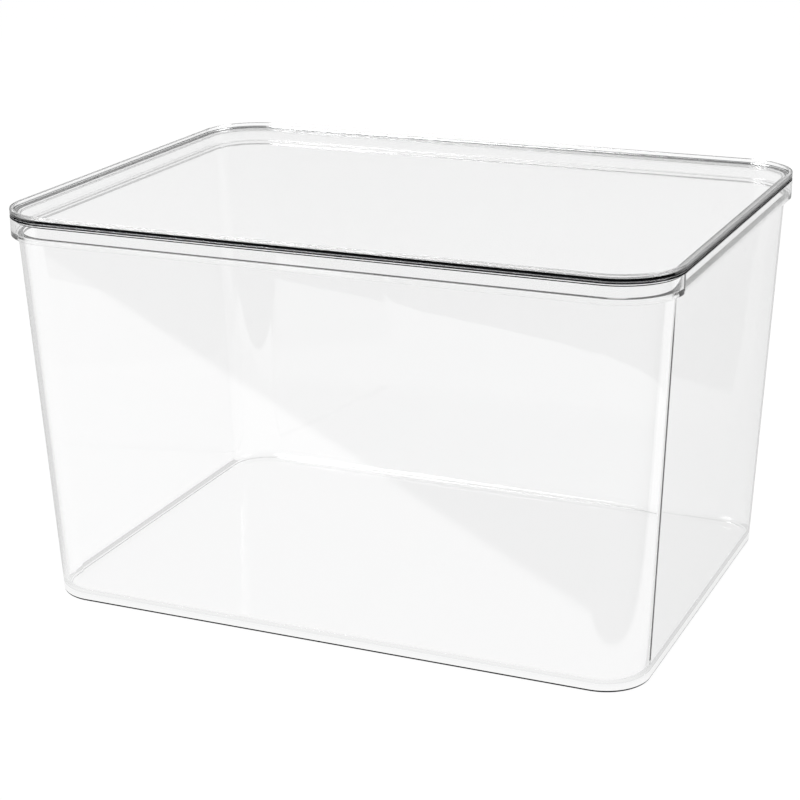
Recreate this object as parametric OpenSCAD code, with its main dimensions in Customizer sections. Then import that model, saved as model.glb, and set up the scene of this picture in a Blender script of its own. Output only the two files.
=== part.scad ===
// Clear storage box with a lift-off lid.
// The origin is at the centre of the underside, +X runs along the length to the
// right, -Y is the front and +Z is up. All sizes are in millimetres.

/* [Overall size] */
// Length over the lid, left to right
lid_length = 340; // [220:1:480]
// Depth over the lid, front to back
lid_depth = 254; // [160:1:380]
// Height of the closed box
box_height = 203.4; // [90:0.1:320]
// Radius of the upright corners of the lid and the collar
lid_corner_r = 30.5; // [22:0.5:50]

/* [Tub] */
// Thickness of the side walls
wall = 2.4; // [1.6:0.1:3.2]
// Thickness of the floor
floor_t = 2.6; // [1.6:0.1:4]
// How far each end wall leans in on its way down to the base
end_taper = 8.8; // [0:0.1:14]
// How far the front and back walls lean in on their way down to the base
side_taper = 10.1; // [0:0.1:14]
// Radius of the upright corners at the base
base_corner_r = 22.8; // [12:0.2:30]
// Fillet between the floor and the walls, inside
floor_fillet = 5.5; // [3:0.5:9]
// Rounding of the outer edge under the base
base_edge_r = 1.2; // [0.4:0.1:2]

/* [Collar] */
// Height of the collar, from its lower edge up to the tub's rim
collar_height = 10.4; // [7:0.1:24]
// How far the collar stands out from the wall below it
collar_step = 3.5; // [2.6:0.1:6]
// Thickness of the collar's upright wall
collar_wall = 2.3; // [1.6:0.1:2.8]
// Thickness of the shoulder that joins the collar to the wall below it
shoulder_t = 2.4; // [1.6:0.1:4]
// Rounding of the collar's two outer edges and of the lid's lower edge
seam_edge_r = 0.8; // [0.3:0.1:1]

/* [Lid] */
// Height of the lid's outer edge
lid_edge_h = 3.2; // [2.8:0.1:6]
// Thickness of the flat panel
panel_t = 2; // [1.4:0.1:3]
// Depth of the tray that the raised rim makes on top of the panel
tray_depth = 2.35; // [1:0.05:2.6]
// Width of the flat top of the raised rim
rim_w = 2; // [1.2:0.1:4]
// Rounding of the rim's outer top edge
rim_edge_r = 0.3; // [0.1:0.1:0.8]
// Width of the locating ring under the panel
ring_w = 2.5; // [1.6:0.1:5]
// How far the locating ring reaches down inside the collar
ring_drop = 2.4; // [1.2:0.1:4]

/* [Fits] */
// Sideways clearance between the locating ring and the collar's wall
ring_gap = 0.4; // [0.2:0.05:0.8]
// Clearance between the tub's rim and the lid's edge that rests on it
seat_gap = 0.05; // [0:0.05:0.3]

/* [Hidden] */

// Facets of the rounded corners: the carried sections, and the drafted walls
$fn = 96;
loft_fn = 48;
// Height of the thin discs that a drafted wall is drawn through
disc_h = 0.01;
// Angle between the levels that draw a fillet
fillet_step = 15;

half_x = lid_length / 2;
half_y = lid_depth / 2;

// Heights, from the top down
lid_seat_z = box_height - lid_edge_h;
rim_z = lid_seat_z - seat_gap;
panel_top_z = box_height - tray_depth;
panel_z = panel_top_z - panel_t;
ring_z = rim_z - ring_drop;
collar_z = rim_z - collar_height;
ledge_z = collar_z + shoulder_t;

// Inward distances from the lid's outer face
cove_in = rim_w + tray_depth;
ring_out = collar_wall + ring_gap;
ring_in = ring_out + ring_w;
ring_middle = ring_out + ring_w / 2;
wall_middle = collar_step + wall / 2;

body_top_r = lid_corner_r - collar_step;

// Outline of the body at height z, drawn in by an inset: half length, half depth,
// corner radius, height
function body_outline(z, inset) =
    let (lean = 1 - z / collar_z)
    [half_x - collar_step - end_taper * lean - inset,
     half_y - collar_step - side_taper * lean - inset,
     body_top_r + (base_corner_r - body_top_r) * lean - inset,
     z];

// Outlines that round the edge between the wall and the level z, with radius r
function edge_outlines(z, inset, r) =
    [for (a = [0 : fillet_step : 90])
        body_outline(z + r * (1 - sin(a)), inset + r * (1 - cos(a)))];

// Solid drawn through a stack of rounded outlines
module loft(outlines) {
    hull()
        for (o = outlines, sx = [-1, 1], sy = [-1, 1])
            translate([sx * (o[0] - o[2]), sy * (o[1] - o[2]), o[3]])
                cylinder(r = o[2], h = disc_h, $fn = loft_fn);
}

// Carries a section once round the box, with the section's x = 0 at the lid's outer face
module carry_round() {
    for (side = [0 : 3]) {
        out = side % 2 == 0 ? half_x : half_y;
        run = (side % 2 == 0 ? half_y : half_x) - lid_corner_r;
        rotate(90 * side) {
            translate([out, run, 0])
                rotate([90, 0, 0])
                    linear_extrude(2 * run) children();
            translate([out - lid_corner_r, run, 0])
                rotate_extrude(angle = 90)
                    translate([lid_corner_r, 0]) children();
        }
    }
}

// Flat plate with the lid's outline drawn in by an inset
module plate(inset, z, t) {
    r = lid_corner_r - inset;
    x = half_x - inset;
    y = half_y - inset;
    translate([0, 0, z]) {
        translate([-x, r - y, 0]) cube([2 * x, 2 * (y - r), t]);
        translate([r - x, -y, 0]) cube([2 * (x - r), 2 * y, t]);
        for (sx = [-1, 1], sy = [-1, 1])
            translate([sx * (x - r), sy * (y - r), 0]) cylinder(r = r, h = t);
    }
}

// Section of an upright band whose outer corners are rounded
module band_section(w, z_low, z_high, r_low, r_high) {
    translate([-w, z_low + r_low]) square([w, z_high - r_high - z_low - r_low]);
    translate([-w, z_low]) square([w - r_low, r_low]);
    translate([-w, z_high - r_high]) square([w - r_high, r_high]);
    translate([-r_low, z_low + r_low]) circle(r = r_low);
    translate([-r_high, z_high - r_high]) circle(r = r_high);
}

// Collar: upright wall, and the shoulder that reaches into the body's wall
module collar_section() {
    band_section(collar_wall, collar_z, rim_z, seam_edge_r, seam_edge_r);
    translate([-wall_middle, collar_z]) square([wall_middle - seam_edge_r, shoulder_t]);
}

// Lid's edge: raised rim with a cove down to the panel, and the locating ring
module lid_edge_section() {
    difference() {
        band_section(cove_in, lid_seat_z, box_height, seam_edge_r, rim_edge_r);
        translate([-cove_in, box_height]) circle(r = tray_depth);
    }
    translate([-ring_in, ring_z]) square([ring_w, panel_top_z - ring_z]);
}

// Open container: drafted body, stepped-out collar and inner ledge
module tub() {
    fillet_r = min(floor_fillet, base_corner_r - wall - 1);
    color("lightcyan", 0.4)
        difference() {
            union() {
                loft(concat(edge_outlines(0, 0, base_edge_r), [body_outline(ledge_z - disc_h, 0)]));
                carry_round() collar_section();
            }
            loft(concat(edge_outlines(floor_t, wall, fillet_r), [body_outline(ledge_z + 1, wall)]));
        }
}

// Lift-off cover: flat panel inside a raised rim
module lid() {
    color("aliceblue", 0.4) {
        carry_round() lid_edge_section();
        plate(ring_middle, panel_z, panel_t);
    }
}

tub();
lid();
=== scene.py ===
"""Clear storage box with a lift-off lid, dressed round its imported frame.

All lengths are in metres. The origin is at the centre of the underside, +X runs along
the length to the right, -Y is the front and +Z is up.
"""

import math

import bpy
import numpy as np
from mathutils import Matrix, Vector


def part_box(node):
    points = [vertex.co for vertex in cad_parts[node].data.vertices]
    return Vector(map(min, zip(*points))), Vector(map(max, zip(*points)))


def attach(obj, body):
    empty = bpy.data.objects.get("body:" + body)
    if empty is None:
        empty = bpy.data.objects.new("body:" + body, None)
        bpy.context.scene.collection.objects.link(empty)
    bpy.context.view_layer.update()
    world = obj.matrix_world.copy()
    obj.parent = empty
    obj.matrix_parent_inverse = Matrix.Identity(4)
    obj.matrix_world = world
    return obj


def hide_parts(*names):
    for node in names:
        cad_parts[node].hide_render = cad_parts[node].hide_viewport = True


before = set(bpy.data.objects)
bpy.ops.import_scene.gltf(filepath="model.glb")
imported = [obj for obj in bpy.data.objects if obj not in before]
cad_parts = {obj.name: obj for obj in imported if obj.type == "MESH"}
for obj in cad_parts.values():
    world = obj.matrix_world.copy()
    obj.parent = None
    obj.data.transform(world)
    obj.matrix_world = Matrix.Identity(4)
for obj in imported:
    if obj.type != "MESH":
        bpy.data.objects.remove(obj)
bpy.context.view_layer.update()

MM = 0.001
QUARTER_TURN = math.radians(90)

# Camera: where it stands, how it is turned in degrees, its lens, and how far it sees
CAMERA_PLACE = (0.40327, -0.94173, 0.43343)
CAMERA_AZIMUTH = 23.592
CAMERA_ELEVATION = 18.524
CAMERA_ROLL = -0.566
LENS_MM = 93.334
SENSOR_MM = 36.0
CAMERA_REACH = 50

# Overall sizes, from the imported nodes
LID_LOW, LID_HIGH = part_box("lid")
HALF_X = LID_HIGH[0]
HALF_Y = LID_HIGH[1]
TOP_Z = LID_HIGH[2]
RING_Z = LID_LOW[2]
RIM_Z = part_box("tub")[1][2]

# Outline of the lid and the collar, and how the body draws in below it
CORNER_R = 30.5 * MM
COLLAR_H = 10.4 * MM
COLLAR_Z = RIM_Z - COLLAR_H
END_TAPER = 8.8 * MM
SIDE_TAPER = 10.1 * MM
CORNER_TAPER = 4.2 * MM

# Tub
COLLAR_STEP = 3.5 * MM
COLLAR_WALL = 2.3 * MM
SHOULDER_T = 2.4 * MM
WALL = 2.4 * MM
FLOOR_T = 2.6 * MM
FLOOR_FILLET = 5.5 * MM
BASE_EDGE_R = 1.2 * MM
SEAM_EDGE_R = 0.8 * MM

# Lid
EDGE_H = 3.2 * MM
TRAY_DEPTH = 2.35 * MM
PANEL_T = 2.0 * MM
RIM_W = 2.0 * MM
COVE_R = 2.15 * MM
RING_OUT = 2.7 * MM
RING_W = 2.5 * MM
RIM_EDGE_R = 0.3 * MM

# Small rounds where two flats of the mouldings meet
INNER_ROUND = 0.4 * MM
FINE_ROUND = 0.15 * MM
RING_ROUND = 0.6 * MM

# Facets: steps in an upright corner, in a small round, and the longest plain strip
CORNER_STEPS = 28
ROUND_STEPS = 6
STRIP_LENGTH = 24 * MM
# How far the flat of a floor or a panel runs in before it is closed with one face
FLAT_RUN = 6 * MM

# Finishes of a mesh's faces, numbered as its materials are: plain plastic, an edge
# painted with a near-black line seen from outside, as painted shade in place of the dark
# line that refraction draws there, and the underside, which lies on the floor and lets
# the light pass straight through
PLAIN, SHADE_LINE, SEATED = 0, 1, 2
# An edge painted with the dark line of painted shade only on its upright part, and the
# least rise of a facet that counts as upright
HALF_SHADE_LINE = 3
UPRIGHT = 0.7
# Owner of the path points that lie between two corners
NO_CORNER = -1

# Clear plastic: its haze comes and goes in patches, and its skin has faint flow lines
PLASTIC_IOR = 1.49
HAZE_SCALE = 9
HAZE_DETAIL = 6
HAZE_FROM = 0.45
HAZE_TO = 0.8
HAZE_ROUGHNESS = 0.03
FLOW_SCALE = 14
FLOW_DETAIL = 2
FLOW_STRENGTH = 0.12
FLOW_DEPTH = 0.4 * MM
SHADOW_TINT = (0.94, 0.95, 0.95, 1)
BODY_TINT = (0.50, 0.52, 0.53, 1)
BODY_DENSITY = 7
# Painted shade: near-black colour and roughness of the dark line painted on edge faces
SHADE_LINE_COLOUR = (0.004, 0.004, 0.005, 1)
SHADE_LINE_ROUGHNESS = 0.25

# Floor: its size, its gap below the box, its colour, and how much of it glows plain white
FLOOR_HALF = 6.0
FLOOR_GAP = 0.2 * MM
FLOOR_COLOUR = (0.95, 0.95, 0.95, 1)
WHITE_SHARE = 0.96
# Painted reflection: seen in the plastic, the floor glows white up to a straight edge, and past
# it glows near black as painted shade
SHADE_EDGE_POINT = (0.139, -0.164)
SHADE_EDGE_ALONG = (0.8262, 0.5634)
SHADE_EDGE_SOFT = 0.004
PAINTED_DARK_FLOOR = 0.03
# The painted reflection is also a little dimmer to the right of the box, past a second edge and
# behind a line
SIDE_EDGE_POINT = (0.157, -0.113)
SIDE_EDGE_ALONG = (0.42, 0.908)
SIDE_EDGE_START = -0.1
SIDE_EDGE_SOFT = 0.02
PAINTED_DIM_SIDE = 0.75

# Room in reflections: its grey level up to one rise of the ray, and from another rise on
ROOM_LEVELS = ((0.5, 0.88), (0.75, 0.02))

# Softboxes: place, width, and power in watts
KEY_LIGHT = ((-0.9, -0.6, 1.5), 0.9, 22)
FILL_LIGHT = ((1.2, 0.5, 1.2), 0.9, 10)


def unit(v):
    return v / np.linalg.norm(v)


def turned(v, angle):
    c, s = math.cos(angle), math.sin(angle)
    return np.array([c * v[0] - s * v[1], s * v[0] + c * v[1]])


def rounded_path(corners):
    """Path through (inset, height, radius, finish) corners, each rounded by its radius.

    Returns the path's points, its unit direction at each of them, and the number of the
    corner that each belongs to.
    """
    spots = [np.array(corner[:2]) for corner in corners]
    last = len(spots) - 1
    points, headings, owners = [], [], []

    def add(point, heading, owner):
        points.append(point)
        headings.append(heading)
        owners.append(owner)

    add(spots[0], unit(spots[1] - spots[0]), 0)
    for i in range(1, last):
        radius = corners[i][2]
        before = unit(spots[i] - spots[i - 1])
        after = unit(spots[i + 1] - spots[i])
        turn = math.atan2(before[0] * after[1] - before[1] * after[0], before @ after)
        back_off = radius * math.tan(abs(turn) / 2)
        start = spots[i] - before * back_off
        side = np.array([-before[1], before[0]]) * math.copysign(1, turn)
        centre = start + side * radius
        for k in range(ROUND_STEPS + 1):
            angle = turn * k / ROUND_STEPS
            add(centre + turned(start - centre, angle), turned(before, angle), i)
    add(spots[last], unit(spots[last] - spots[last - 1]), last)
    return filled_in(points, headings, owners)


def filled_in(points, headings, owners):
    """Adds points to the path's long straight stretches. They belong to no corner."""
    out_points, out_headings, out_owners = [points[0]], [headings[0]], [owners[0]]
    for i in range(1, len(points)):
        gap = points[i] - points[i - 1]
        strips = max(1, math.ceil(np.linalg.norm(gap) / STRIP_LENGTH))
        for k in range(1, strips + 1):
            out_points.append(points[i - 1] + gap * k / strips)
            out_headings.append(headings[i] if k == strips else unit(gap))
            out_owners.append(owners[i] if k == strips else NO_CORNER)
    return out_points, out_headings, out_owners


def strip_finishes(corners, headings, owners):
    """Finish of each strip between two neighbouring points of a path."""
    finishes = [corners[0][3]]
    for i in range(1, len(owners) - 1):
        one_corner = owners[i] == owners[i + 1] != NO_CORNER
        finish = corners[owners[i]][3] if one_corner else PLAIN
        if finish == HALF_SHADE_LINE:
            rise = abs(headings[i][1] + headings[i + 1][1]) / 2
            finish = SHADE_LINE if rise > UPRIGHT else PLAIN
        finishes.append(finish)
    return finishes


def outline_angles():
    """Steps round the outline: side in X, side in Y, and direction of the outward normal."""
    sides = [(1, 1), (-1, 1), (-1, -1), (1, -1)]
    for quarter, (sx, sy) in enumerate(sides):
        for k in range(CORNER_STEPS + 1):
            yield sx, sy, QUARTER_TURN * (quarter + k / CORNER_STEPS)


def outline_ring(point, heading):
    """Vertices and true normals round the box's rounded outline at one point of a path.

    The outline draws in below the collar, by different amounts at the ends, the sides
    and the corners.
    """
    inset, z = point
    inset_rate, z_rate = heading
    lean = max(0.0, 1 - z / COLLAR_Z)
    lean_rate = -z_rate / COLLAR_Z if z < COLLAR_Z else 0.0
    radius = CORNER_R - inset - CORNER_TAPER * lean
    radius_rate = -inset_rate - CORNER_TAPER * lean_rate
    centre_x = HALF_X - CORNER_R - (END_TAPER - CORNER_TAPER) * lean
    centre_y = HALF_Y - CORNER_R - (SIDE_TAPER - CORNER_TAPER) * lean
    vertices, normals = [], []
    for sx, sy, angle in outline_angles():
        c, s = math.cos(angle), math.sin(angle)
        vertices.append((sx * centre_x + radius * c, sy * centre_y + radius * s, z))
        along = Vector((
            -sx * (END_TAPER - CORNER_TAPER) * lean_rate + radius_rate * c,
            -sy * (SIDE_TAPER - CORNER_TAPER) * lean_rate + radius_rate * s,
            z_rate,
        ))
        normals.append(Vector((-s, c, 0)).cross(along).normalized())
    return vertices, normals


def carried_mesh(name, corners):
    """Closed mesh made by carrying a path round the box's outline.

    It gets its true normals, so that it bends light cleanly.
    """
    points, headings, owners = rounded_path(corners)
    vertices, normals = [], []
    for point, heading in zip(points, headings):
        ring_vertices, ring_normals = outline_ring(point, heading)
        vertices += ring_vertices
        normals += ring_normals
    count = len(vertices) // len(points)
    last = len(vertices) - count
    faces = [tuple(reversed(range(count)))]
    finishes = [corners[0][3]]
    for ring, finish in enumerate(strip_finishes(corners, headings, owners)):
        low, high = ring * count, (ring + 1) * count
        for k in range(count):
            n = (k + 1) % count
            faces.append((low + k, low + n, high + n, high + k))
        finishes += [finish] * count
    faces.append(tuple(range(last, last + count)))
    finishes.append(PLAIN)
    mesh = bpy.data.meshes.new(name)
    mesh.from_pydata(vertices, [], faces)
    mesh.polygons.foreach_set("material_index", finishes)
    mesh.shade_smooth()
    mesh.normals_split_custom_set_from_vertices(normals)
    piece = bpy.data.objects.new(name, mesh)
    bpy.context.scene.collection.objects.link(piece)
    return piece


def make_tub():
    inner = COLLAR_STEP + WALL
    return carried_mesh("clear_tub", [
        (COLLAR_STEP + FLAT_RUN, 0, 0, SEATED),
        (COLLAR_STEP, 0, BASE_EDGE_R, SHADE_LINE),
        (COLLAR_STEP, COLLAR_Z, INNER_ROUND, PLAIN),
        (0, COLLAR_Z, SEAM_EDGE_R, PLAIN),
        (0, RIM_Z, SEAM_EDGE_R, HALF_SHADE_LINE),
        (COLLAR_WALL, RIM_Z, INNER_ROUND, PLAIN),
        (COLLAR_WALL, COLLAR_Z + SHOULDER_T, INNER_ROUND, PLAIN),
        (inner, COLLAR_Z + SHOULDER_T, INNER_ROUND, PLAIN),
        (inner, FLOOR_T, FLOOR_FILLET, PLAIN),
        (inner + FLOOR_FILLET + FLAT_RUN, FLOOR_T, 0, PLAIN),
    ])


def make_lid():
    panel_top = TOP_Z - TRAY_DEPTH
    panel_low = panel_top - PANEL_T
    seat = TOP_Z - EDGE_H
    return carried_mesh("clear_lid", [
        (RING_OUT + RING_W + FLAT_RUN, panel_low, 0, PLAIN),
        (RING_OUT + RING_W, panel_low, INNER_ROUND, PLAIN),
        (RING_OUT + RING_W, RING_Z, INNER_ROUND, PLAIN),
        (RING_OUT, RING_Z, RING_ROUND, SHADE_LINE),
        (RING_OUT, seat, FINE_ROUND, PLAIN),
        (0, seat, SEAM_EDGE_R, HALF_SHADE_LINE),
        (0, TOP_Z, RIM_EDGE_R, PLAIN),
        (RIM_W, TOP_Z, FINE_ROUND, PLAIN),
        (RIM_W, panel_top, COVE_R, PLAIN),
        (RIM_W + COVE_R + FLAT_RUN, panel_top, 0, PLAIN),
    ])


def patches(nodes, links, place, scale, detail):
    """Grey cloudy pattern fixed to the object."""
    noise = nodes.new("ShaderNodeTexNoise")
    noise.inputs["Scale"].default_value = scale
    noise.inputs["Detail"].default_value = detail
    links.new(place.outputs["Object"], noise.inputs["Vector"])
    return noise.outputs["Fac"]


def clear_plastic(name, finish):
    """Clear moulded plastic with faint flow lines, handling marks and a little haze."""
    material = bpy.data.materials.new(name)
    material.use_nodes = True
    nodes, links = material.node_tree.nodes, material.node_tree.links
    nodes.clear()
    shader = nodes.new("ShaderNodeBsdfPrincipled")
    shader.inputs["Base Color"].default_value = (1, 1, 1, 1)
    shader.inputs["Transmission Weight"].default_value = 1
    shader.inputs["IOR"].default_value = PLASTIC_IOR

    place = nodes.new("ShaderNodeTexCoord")
    haze = nodes.new("ShaderNodeMapRange")
    haze.inputs["From Min"].default_value = HAZE_FROM
    haze.inputs["From Max"].default_value = HAZE_TO
    haze.inputs["To Max"].default_value = HAZE_ROUGHNESS
    links.new(patches(nodes, links, place, HAZE_SCALE, HAZE_DETAIL), haze.inputs["Value"])
    links.new(haze.outputs["Result"], shader.inputs["Roughness"])

    bump = nodes.new("ShaderNodeBump")
    bump.inputs["Strength"].default_value = FLOW_STRENGTH
    bump.inputs["Distance"].default_value = FLOW_DEPTH
    links.new(patches(nodes, links, place, FLOW_SCALE, FLOW_DETAIL), bump.inputs["Height"])
    links.new(bump.outputs["Normal"], shader.inputs["Normal"])

    path = nodes.new("ShaderNodeLightPath")
    through = nodes.new("ShaderNodeBsdfTransparent")
    through.inputs["Color"].default_value = SHADOW_TINT
    mix = nodes.new("ShaderNodeMixShader")
    links.new(path.outputs["Is Shadow Ray"], mix.inputs["Fac"])
    links.new(shader.outputs["BSDF"], mix.inputs[1])
    links.new(through.outputs["BSDF"], mix.inputs[2])

    surface = mix.outputs["Shader"]
    # Edge faces are painted near black from outside: painted shade for the dark line of
    # refraction
    if finish == SHADE_LINE:
        surface = painted_shade_line(nodes, links, surface)
    if finish == SEATED:
        seat = nodes.new("ShaderNodeBsdfTransparent")
        surface = seat.outputs["BSDF"]

    tint = nodes.new("ShaderNodeVolumeAbsorption")
    tint.inputs["Color"].default_value = BODY_TINT
    tint.inputs["Density"].default_value = BODY_DENSITY
    out = nodes.new("ShaderNodeOutputMaterial")
    links.new(surface, out.inputs["Surface"])
    links.new(tint.outputs["Volume"], out.inputs["Volume"])
    return material


def painted_shade_line(nodes, links, plain):
    """Painted shade: near black from outside, in place of the dark line that a small rounded
    edge of clear plastic shows by refraction; from inside it stays plain plastic.
    """
    side = nodes.new("ShaderNodeNewGeometry")
    dark = nodes.new("ShaderNodeBsdfPrincipled")
    dark.inputs["Base Color"].default_value = SHADE_LINE_COLOUR
    dark.inputs["Roughness"].default_value = SHADE_LINE_ROUGHNESS
    dark.inputs["Specular IOR Level"].default_value = 0
    mix = nodes.new("ShaderNodeMixShader")
    links.new(side.outputs["Backfacing"], mix.inputs["Fac"])
    links.new(dark.outputs["BSDF"], mix.inputs[1])
    links.new(plain, mix.inputs[2])
    return mix.outputs["Shader"]


def math_node(nodes, links, operation, first, second):
    """Result of a sum on two inputs; the second is a socket or a plain number."""
    node = nodes.new("ShaderNodeMath")
    node.operation = operation
    links.new(first, node.inputs[0])
    if isinstance(second, float):
        node.inputs[1].default_value = second
    else:
        links.new(second, node.inputs[1])
    return node.outputs["Value"]


def seen_rays(nodes, links):
    """1 for camera, glossy and transmission rays, else 0."""
    path = nodes.new("ShaderNodeLightPath")
    camera_or_glossy = math_node(nodes, links, "MAXIMUM", path.outputs["Is Camera Ray"],
                                 path.outputs["Is Glossy Ray"])
    return math_node(nodes, links, "MAXIMUM", camera_or_glossy,
                     path.outputs["Is Transmission Ray"])


def mirrored(nodes, links):
    """1 for what is seen in a reflection, 0 for what is seen straight or through the plastic."""
    path = nodes.new("ShaderNodeLightPath")
    return math_node(nodes, links, "GREATER_THAN", path.outputs["Glossy Depth"], 0.5)


def mixed_colour(nodes, links, fac, first, second):
    """Colour mix; first and second are sockets or grey levels."""
    mix = nodes.new("ShaderNodeMix")
    mix.data_type = "RGBA"
    links.new(fac, mix.inputs["Factor"])
    for name, value in (("A", first), ("B", second)):
        if isinstance(value, float):
            mix.inputs[name].default_value = (value, value, value, 1)
        else:
            links.new(value, mix.inputs[name])
    return mix.outputs["Result"]


def past_edge(nodes, links, point, along, soft):
    """1 to the left of a straight line on the floor, 0 to its right, with a soft step."""
    place = nodes.new("ShaderNodeNewGeometry")
    across = nodes.new("ShaderNodeVectorMath")
    across.operation = "DOT_PRODUCT"
    across.inputs[1].default_value = (-along[1], along[0], 0)
    links.new(place.outputs["Position"], across.inputs[0])
    offset = along[0] * point[1] - along[1] * point[0]
    step = nodes.new("ShaderNodeMapRange")
    step.inputs["From Min"].default_value = offset - soft
    step.inputs["From Max"].default_value = offset + soft
    links.new(across.outputs["Value"], step.inputs["Value"])
    return step.outputs["Result"]


def painted_floor_reflection(nodes, links):
    """Painted reflection: the floor's glow where the plastic reflects it, with painted shade
    past straight edges.
    """
    painted_lit_side = past_edge(nodes, links, SHADE_EDGE_POINT, SHADE_EDGE_ALONG, SHADE_EDGE_SOFT)
    behind = past_edge(nodes, links, (0, SIDE_EDGE_START), (1, 0), SIDE_EDGE_SOFT)
    beside = past_edge(nodes, links, SIDE_EDGE_POINT, SIDE_EDGE_ALONG, SIDE_EDGE_SOFT)
    dim_side = math_node(nodes, links, "MULTIPLY", behind, beside)
    near = mixed_colour(nodes, links, dim_side, 1.0, PAINTED_DIM_SIDE)
    return mixed_colour(nodes, links, painted_lit_side, PAINTED_DARK_FLOOR, near)


def make_floor():
    """Plain white floor that keeps a soft share of the object's shadow, and glows with a painted
    reflection where the plastic reflects it.
    """
    mesh = bpy.data.meshes.new("floor")
    half = FLOOR_HALF
    mesh.from_pydata([(-half, -half, 0), (half, -half, 0), (half, half, 0), (-half, half, 0)],
                     [], [(0, 1, 2, 3)])
    floor = bpy.data.objects.new("floor", mesh)
    bpy.context.scene.collection.objects.link(floor)
    floor.location.z = -FLOOR_GAP
    material = bpy.data.materials.new("white_floor")
    material.use_nodes = True
    nodes, links = material.node_tree.nodes, material.node_tree.links
    nodes.clear()
    lit = nodes.new("ShaderNodeBsdfDiffuse")
    lit.inputs["Color"].default_value = FLOOR_COLOUR
    white = nodes.new("ShaderNodeEmission")
    # Seen in reflections, the floor's glow takes the painted reflection and its painted shade
    links.new(mixed_colour(nodes, links, mirrored(nodes, links), 1.0,
                           painted_floor_reflection(nodes, links)), white.inputs["Color"])
    share = math_node(nodes, links, "MULTIPLY", seen_rays(nodes, links), WHITE_SHARE)
    mix = nodes.new("ShaderNodeMixShader")
    links.new(share, mix.inputs["Fac"])
    links.new(lit.outputs["BSDF"], mix.inputs[1])
    links.new(white.outputs["Emission"], mix.inputs[2])
    out = nodes.new("ShaderNodeOutputMaterial")
    links.new(mix.outputs["Shader"], out.inputs["Surface"])
    mesh.materials.append(material)


def make_world():
    """White surround. In reflections it dims towards a dark ceiling."""
    world = bpy.data.worlds.new("studio")
    bpy.context.scene.world = world
    world.use_nodes = True
    nodes, links = world.node_tree.nodes, world.node_tree.links
    nodes.clear()
    place = nodes.new("ShaderNodeTexCoord")
    split = nodes.new("ShaderNodeSeparateXYZ")
    links.new(place.outputs["Generated"], split.inputs["Vector"])
    ramp = nodes.new("ShaderNodeValToRGB")
    for stop, (rise, level) in zip(ramp.color_ramp.elements, ROOM_LEVELS):
        stop.position = rise
        stop.color = (level, level, level, 1)
    links.new(split.outputs["Z"], ramp.inputs["Fac"])
    sky = nodes.new("ShaderNodeBackground")
    links.new(mixed_colour(nodes, links, mirrored(nodes, links), 1.0, ramp.outputs["Color"]),
              sky.inputs["Color"])
    out = nodes.new("ShaderNodeOutputWorld")
    links.new(sky.outputs["Background"], out.inputs["Surface"])


def soft_lamp(name, place, width, power):
    """Square softbox that faces the middle of the box."""
    lamp = bpy.data.lights.new(name, "AREA")
    lamp.shape = "SQUARE"
    lamp.size = width
    lamp.energy = power
    holder = bpy.data.objects.new(name, lamp)
    holder.location = place
    aim = Vector((0, 0, TOP_Z / 2)) - Vector(place)
    holder.rotation_euler = aim.to_track_quat("-Z", "Y").to_euler()
    bpy.context.scene.collection.objects.link(holder)


def make_camera():
    az, el, roll = (math.radians(a) for a in (CAMERA_AZIMUTH, CAMERA_ELEVATION, CAMERA_ROLL))
    back = Vector((math.sin(az) * math.cos(el), -math.cos(az) * math.cos(el), math.sin(el)))
    level = Vector((math.cos(az), math.sin(az), 0))
    upright = back.cross(level)
    right = level * math.cos(roll) + upright * math.sin(roll)
    up = upright * math.cos(roll) - level * math.sin(roll)
    data = bpy.data.cameras.new("camera")
    data.sensor_width = SENSOR_MM
    data.lens = LENS_MM
    data.clip_end = CAMERA_REACH
    camera = bpy.data.objects.new("camera", data)
    turn = Matrix((right, up, back)).transposed().to_4x4()
    camera.matrix_world = Matrix.Translation(CAMERA_PLACE) @ turn
    bpy.context.scene.collection.objects.link(camera)
    bpy.context.scene.camera = camera


make_camera()
for make, body, slot in ((make_tub, "tub", "clear_tub"), (make_lid, "lid", "clear_lid")):
    piece = make()
    piece.data.materials.append(clear_plastic(slot, PLAIN))
    # The second material paints shade: a dark line on edge faces
    piece.data.materials.append(clear_plastic(slot + "_edge", SHADE_LINE))
    piece.data.materials.append(clear_plastic(slot + "_seat", SEATED))
    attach(piece, body)
    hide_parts(body)

make_floor()
make_world()
soft_lamp("key_light", *KEY_LIGHT)
soft_lamp("fill_light", *FILL_LIGHT)
bpy.context.scene.view_settings.view_transform = "Standard"
